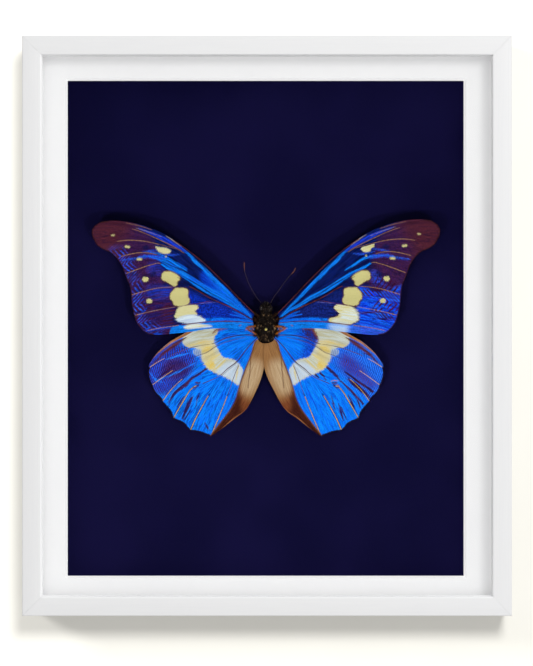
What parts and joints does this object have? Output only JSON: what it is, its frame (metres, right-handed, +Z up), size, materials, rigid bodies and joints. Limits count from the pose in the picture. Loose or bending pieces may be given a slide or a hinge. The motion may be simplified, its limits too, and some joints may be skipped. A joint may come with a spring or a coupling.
{
  "type": "framed butterfly specimen",
  "caption": "Blue butterfly with spread wings pinned on a navy board, behind a mat and glass in a white box frame that hangs on a wall.",
  "frame": {"origin": "the point on the wall plane where a nail carries the hanger", "axes": "+Y towards the wall, so the front faces -Y; +Z up; +X to the right as seen from the front"},
  "size_m": [0.196, 0.027, 0.2322],
  "materials": {
    "white_lacquer": "white satin lacquer on wood",
    "picture_glass": "clear float glass",
    "mat_card": "matte white card with a white cut edge",
    "spacer_strip": "strip covered in navy paper",
    "navy_board": "smooth navy paper on board",
    "hardboard": "brown hardboard",
    "zinc_steel": "zinc plated",
    "insect_body": "dark furry cuticle",
    "wing_scales": "iridescent blue scales with pale bands and brown margins",
    "pin_brass": "lacquered brass"
  },
  "bodies": {
    "root": {"frame_top": "white_lacquer", "frame_bottom": "white_lacquer", "frame_left": "white_lacquer", "frame_right": "white_lacquer", "glass": "picture_glass", "mat": "mat_card", "spacer_top": "spacer_strip", "spacer_bottom": "spacer_strip", "spacer_left": "spacer_strip", "spacer_right": "spacer_strip", "mount_board": "navy_board", "back_panel": "hardboard", "hanger": "zinc_steel", "rivet_left": "zinc_steel", "rivet_right": "zinc_steel", "tab_top_1": "zinc_steel", "tab_top_2": "zinc_steel", "tab_bottom_1": "zinc_steel", "tab_bottom_2": "zinc_steel", "tab_left_1": "zinc_steel", "tab_left_2": "zinc_steel", "tab_right_1": "zinc_steel", "tab_right_2": "zinc_steel", "body": "insect_body", "forewing_left": "wing_scales", "forewing_right": "wing_scales", "hindwing_left": "wing_scales", "hindwing_right": "wing_scales", "antenna_left": "insect_body", "antenna_right": "insect_body", "pin": "pin_brass"}
  },
  "joints": []
}
